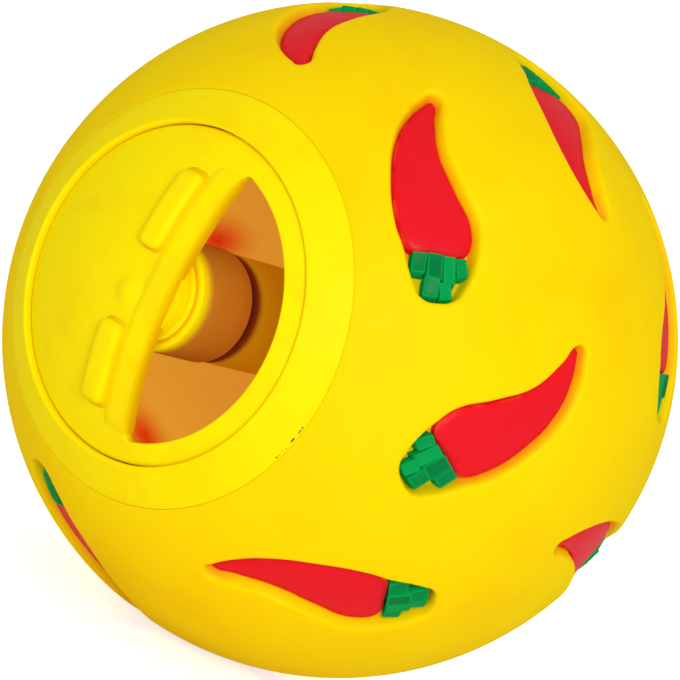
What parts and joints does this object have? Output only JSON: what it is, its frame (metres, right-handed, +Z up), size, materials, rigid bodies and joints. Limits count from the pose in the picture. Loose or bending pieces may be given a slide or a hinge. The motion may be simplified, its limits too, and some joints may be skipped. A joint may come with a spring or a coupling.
{
  "type": "treat dispensing ball",
  "caption": "Hollow vinyl ball with sunken chili pepper reliefs and a turning dial in its mouth, whose half-round window lets treats fall out as the ball rolls.",
  "frame": {"origin": "centre of the ball", "axes": "+Z up, -Y out of the mouth along the dial's axis, +X towards the dial's open window at rest"},
  "size_m": [0.089, 0.0896, 0.089],
  "materials": {
    "yellow_vinyl": "satin, rotation-moulded soft vinyl",
    "yellow_plastic": "satin, injection-moulded",
    "red_paint": "sprayed gloss paint over the vinyl relief",
    "green_paint": "sprayed gloss paint over the vinyl relief",
    "screw_steel": "zinc-plated"
  },
  "bodies": {
    "ball": {"ball_shell": "yellow_vinyl", "mouth_collar": "yellow_plastic", "shutter_plate": "yellow_plastic", "pivot_hub": "yellow_plastic", "centre_post": "yellow_plastic", "pepper_bodies": "red_paint", "pepper_calyxes": "green_paint"},
    "dial": {"dial_plate": "yellow_plastic", "pivot_screw": "screw_steel", "screw_washer": "screw_steel"}
  },
  "joints": [
    {"name": "dial_turn", "type": "hinge", "parent": "ball", "child": "dial", "pos_m": [0, 0, 0], "axis": [0, -1, 0], "continuous": true}
  ]
}
